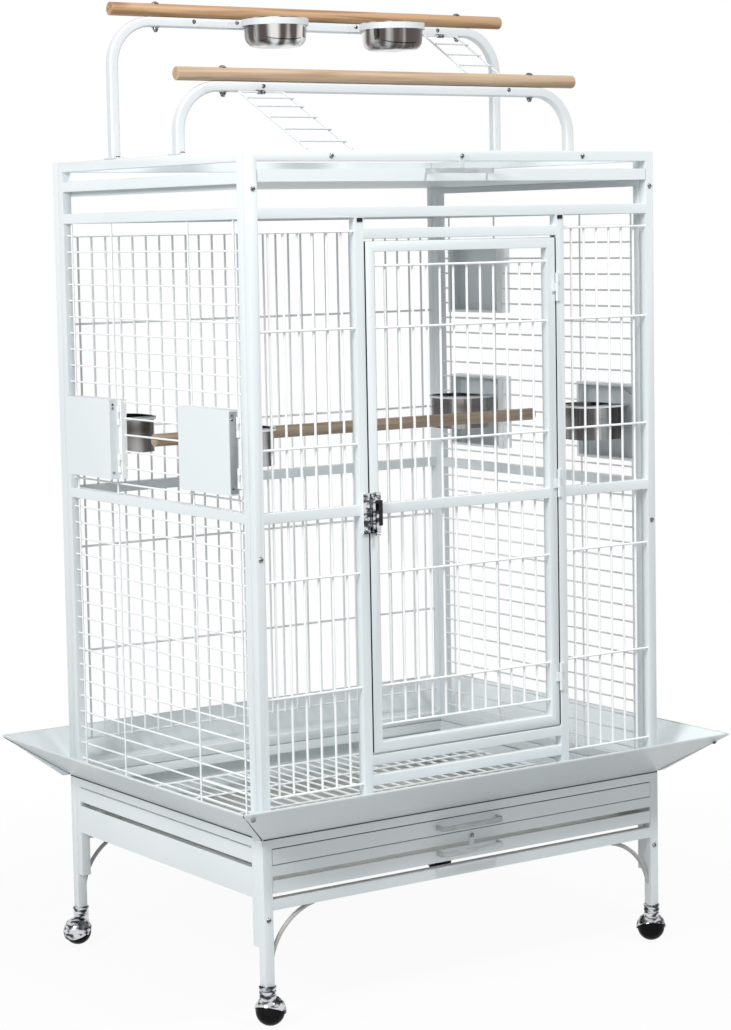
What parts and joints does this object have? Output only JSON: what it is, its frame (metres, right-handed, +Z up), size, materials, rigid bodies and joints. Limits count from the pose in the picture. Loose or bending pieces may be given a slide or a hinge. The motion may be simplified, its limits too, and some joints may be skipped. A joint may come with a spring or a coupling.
{
  "type": "bird cage",
  "caption": "Wheeled play-top parrot cage in white powder coating with a front door, side feeder hatches, slide-out trays, seed skirt, wooden perches and ladders.",
  "frame": {"origin": "Floor level under the middle of the cage", "axes": "+X to the right as seen from the door side, +Y from the door side to the back, +Z up"},
  "size_m": [1.111, 0.908, 1.838],
  "materials": {
    "white_coat": "satin",
    "stainless": "polished",
    "perch_wood": "matte",
    "black_metal": "polished",
    "bright_screw": "polished",
    "wheel_plastic": "matte",
    "caster_metal": "polished",
    "ladder_wire": "satin"
  },
  "bodies": {
    "cage_body": {"back_bars": "white_coat", "back_frame": "white_coat", "bowl_rings": "white_coat", "ceiling_grille": "white_coat", "frame_screws": "bright_screw", "front_arch": "white_coat", "front_bars": "white_coat", "front_frame": "white_coat", "front_perch": "perch_wood", "inner_perch": "perch_wood", "jamb_knuckles": "white_coat", "ladder_clips": "bright_screw", "left_frame": "white_coat", "left_wires": "white_coat", "leg_braces": "white_coat", "perch_bolts": "bright_screw", "rear_arch": "white_coat", "rear_perch": "perch_wood", "right_frame": "white_coat", "right_wires": "white_coat", "skirt_back": "white_coat", "skirt_front": "white_coat", "skirt_left": "white_coat", "skirt_right": "white_coat", "stand_back": "white_coat", "stand_front": "white_coat", "stand_left": "white_coat", "stand_right": "white_coat", "tray_runners": "white_coat"},
    "front_door": {"front_door_frame": "white_coat", "front_door_bars": "white_coat", "door_knuckles": "white_coat", "latch_case": "black_metal"},
    "latch_lever": {"latch_lever": "black_metal"},
    "top_tray": {"top_tray": "white_coat"},
    "floor_grate": {"floor_grate": "white_coat"},
    "bottom_tray": {"bottom_tray": "white_coat"},
    "top_tray_catch": {"top_tray_catch": "white_coat"},
    "bottom_tray_catch": {"bottom_tray_catch": "white_coat"},
    "caster_hood_front_left": {"caster_hood_front_left": "caster_metal"},
    "caster_hood_front_right": {"caster_hood_front_right": "caster_metal"},
    "caster_hood_rear_left": {"caster_hood_rear_left": "caster_metal"},
    "caster_hood_rear_right": {"caster_hood_rear_right": "caster_metal"},
    "caster_wheel_front_left": {"caster_wheel_front_left": "wheel_plastic"},
    "caster_wheel_front_right": {"caster_wheel_front_right": "wheel_plastic"},
    "caster_wheel_rear_left": {"caster_wheel_rear_left": "wheel_plastic"},
    "caster_wheel_rear_right": {"caster_wheel_rear_right": "wheel_plastic"},
    "feeder_cup_left_front": {"feeder_cup_left_front": "stainless"},
    "feeder_cup_left_rear": {"feeder_cup_left_rear": "stainless"},
    "feeder_cup_right_front": {"feeder_cup_right_front": "stainless"},
    "feeder_cup_right_rear": {"feeder_cup_right_rear": "stainless"},
    "feeder_door_left_front": {"feeder_door_left_front": "white_coat"},
    "feeder_door_left_rear": {"feeder_door_left_rear": "white_coat"},
    "feeder_door_right_front": {"feeder_door_right_front": "white_coat"},
    "feeder_door_right_rear": {"feeder_door_right_rear": "white_coat"},
    "feeder_door_right_upper": {"feeder_door_right_upper": "white_coat"},
    "long_ladder": {"long_ladder": "ladder_wire"},
    "play_bowl_left": {"play_bowl_left": "stainless"},
    "play_bowl_right": {"play_bowl_right": "stainless"},
    "short_ladder": {"short_ladder": "ladder_wire"}
  },
  "joints": [
    {"name": "front_door_hinge", "type": "hinge", "parent": "cage_body", "child": "front_door", "pos_m": [0.216, -0.3588, 0.9], "axis": [0, 0, 1], "range_deg": [0, 110]},
    {"name": "latch_lever_pivot", "type": "hinge", "parent": "front_door", "child": "latch_lever", "pos_m": [-0.2035, -0.3645, 0.9025], "axis": [-1, 0, 0], "range_deg": [0, 70]},
    {"name": "top_tray_slide", "type": "slide", "parent": "cage_body", "child": "top_tray", "axis": [0, -1, 0], "range_m": [0, 0.6]},
    {"name": "floor_grate_slide", "type": "slide", "parent": "cage_body", "child": "floor_grate", "axis": [0, -1, 0], "range_m": [0, 0.6]},
    {"name": "bottom_tray_slide", "type": "slide", "parent": "cage_body", "child": "bottom_tray", "axis": [0, -1, 0], "range_m": [0, 0.6]},
    {"name": "top_tray_catch_turn", "type": "hinge", "parent": "cage_body", "child": "top_tray_catch", "pos_m": [0, -0.3565, 1.5345], "axis": [0, 1, 0], "range_deg": [-90, 90]},
    {"name": "bottom_tray_catch_turn", "type": "hinge", "parent": "cage_body", "child": "bottom_tray_catch", "pos_m": [0, -0.3565, 0.2815], "axis": [0, 1, 0], "range_deg": [-90, 90]},
    {"name": "feeder_door_left_front_hinge", "type": "hinge", "parent": "cage_body", "child": "feeder_door_left_front", "pos_m": [-0.4598, -0.3088, 1.021], "axis": [0, 0, 1], "range_deg": [0, 95]},
    {"name": "feeder_cup_left_front_lift", "type": "slide", "parent": "feeder_door_left_front", "child": "feeder_cup_left_front", "axis": [0, 0, 1], "range_m": [0, 0.035]},
    {"name": "feeder_door_left_rear_hinge", "type": "hinge", "parent": "cage_body", "child": "feeder_door_left_rear", "pos_m": [-0.4598, 0.1172, 1.021], "axis": [0, 0, 1], "range_deg": [0, 95]},
    {"name": "feeder_cup_left_rear_lift", "type": "slide", "parent": "feeder_door_left_rear", "child": "feeder_cup_left_rear", "axis": [0, 0, 1], "range_m": [0, 0.035]},
    {"name": "feeder_door_right_front_hinge", "type": "hinge", "parent": "cage_body", "child": "feeder_door_right_front", "pos_m": [0.4598, -0.3088, 1.021], "axis": [0, 0, -1], "range_deg": [0, 95]},
    {"name": "feeder_cup_right_front_lift", "type": "slide", "parent": "feeder_door_right_front", "child": "feeder_cup_right_front", "axis": [0, 0, 1], "range_m": [0, 0.035]},
    {"name": "feeder_door_right_rear_hinge", "type": "hinge", "parent": "cage_body", "child": "feeder_door_right_rear", "pos_m": [0.4598, 0.1172, 1.021], "axis": [0, 0, -1], "range_deg": [0, 95]},
    {"name": "feeder_cup_right_rear_lift", "type": "slide", "parent": "feeder_door_right_rear", "child": "feeder_cup_right_rear", "axis": [0, 0, 1], "range_m": [0, 0.035]},
    {"name": "feeder_door_right_upper_hinge", "type": "hinge", "parent": "cage_body", "child": "feeder_door_right_upper", "pos_m": [0.4598, 0.1172, 1.303], "axis": [0, 0, -1], "range_deg": [0, 95]},
    {"name": "play_bowl_left_lift", "type": "slide", "parent": "cage_body", "child": "play_bowl_left", "axis": [0, 0, 1], "range_m": [0, 0.07]},
    {"name": "play_bowl_right_lift", "type": "slide", "parent": "cage_body", "child": "play_bowl_right", "axis": [0, 0, 1], "range_m": [0, 0.07]},
    {"name": "long_ladder_swing", "type": "hinge", "parent": "cage_body", "child": "long_ladder", "pos_m": [-0.28, -0.1257, 1.657], "axis": [-1, 0, 0], "range_deg": [0, 60]},
    {"name": "short_ladder_swing", "type": "hinge", "parent": "cage_body", "child": "short_ladder", "pos_m": [0.3, 0.1103, 1.79], "axis": [-1, 0, 0], "range_deg": [0, 60]},
    {"name": "caster_swivel_front_left", "type": "hinge", "parent": "cage_body", "child": "caster_hood_front_left", "pos_m": [-0.4475, -0.346, 0.075], "axis": [0, 0, 1], "continuous": true},
    {"name": "caster_roll_front_left", "type": "hinge", "parent": "caster_hood_front_left", "child": "caster_wheel_front_left", "pos_m": [-0.43925, -0.34035, 0.0265], "axis": [-0.5646, 0.8253, 0], "continuous": true},
    {"name": "caster_swivel_front_right", "type": "hinge", "parent": "cage_body", "child": "caster_hood_front_right", "pos_m": [0.4475, -0.346, 0.075], "axis": [0, 0, 1], "continuous": true},
    {"name": "caster_roll_front_right", "type": "hinge", "parent": "caster_hood_front_right", "child": "caster_wheel_front_right", "pos_m": [0.4529, -0.33759, 0.0265], "axis": [-0.8415, 0.5403, 0], "continuous": true},
    {"name": "caster_swivel_rear_left", "type": "hinge", "parent": "cage_body", "child": "caster_hood_rear_left", "pos_m": [-0.4475, 0.346, 0.075], "axis": [0, 0, 1], "continuous": true},
    {"name": "caster_roll_rear_left", "type": "hinge", "parent": "caster_hood_rear_left", "child": "caster_wheel_rear_left", "pos_m": [-0.45717, 0.34345, 0.0265], "axis": [0.2555, -0.9668, 0], "continuous": true},
    {"name": "caster_swivel_rear_right", "type": "hinge", "parent": "cage_body", "child": "caster_hood_rear_right", "pos_m": [0.4475, 0.346, 0.075], "axis": [0, 0, 1], "continuous": true},
    {"name": "caster_roll_rear_right", "type": "hinge", "parent": "caster_hood_rear_right", "child": "caster_wheel_rear_right", "pos_m": [0.44334, 0.35509, 0.0265], "axis": [-0.9093, -0.4161, 0], "continuous": true}
  ]
}
